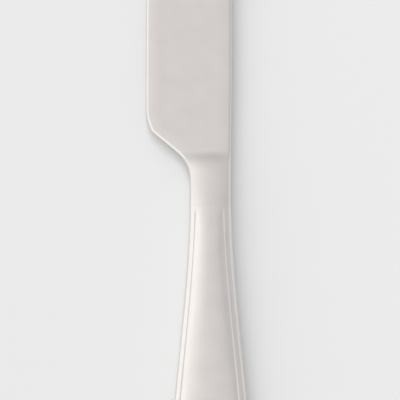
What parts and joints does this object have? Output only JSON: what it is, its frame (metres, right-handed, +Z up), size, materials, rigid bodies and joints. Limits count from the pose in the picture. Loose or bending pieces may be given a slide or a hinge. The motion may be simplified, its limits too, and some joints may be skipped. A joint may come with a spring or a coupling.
{
  "type": "butter knife",
  "caption": "Hollow-handle butter knife: broad flat blunt blade with a sloped heel, forged bolster and neck, and a flaring crowned handle with a thread border.",
  "frame": {"origin": "centre of the knife's box in X and Y, on the surface that the back of the handle lies on", "axes": "+Y from the butt to the tip of the blade, +Z up out of the front of the knife, -X towards the cutting edge"},
  "size_m": [0.0254, 0.17, 0.0076],
  "materials": {
    "blade_steel": "polished",
    "handle_steel": "polished",
    "braze": "satin",
    "cement": "matte"
  },
  "bodies": {
    "root": {"blade": "blade_steel", "handle_front_shell": "handle_steel", "handle_back_shell": "handle_steel", "seam_braze": "braze", "handle_cement": "cement"}
  },
  "joints": []
}
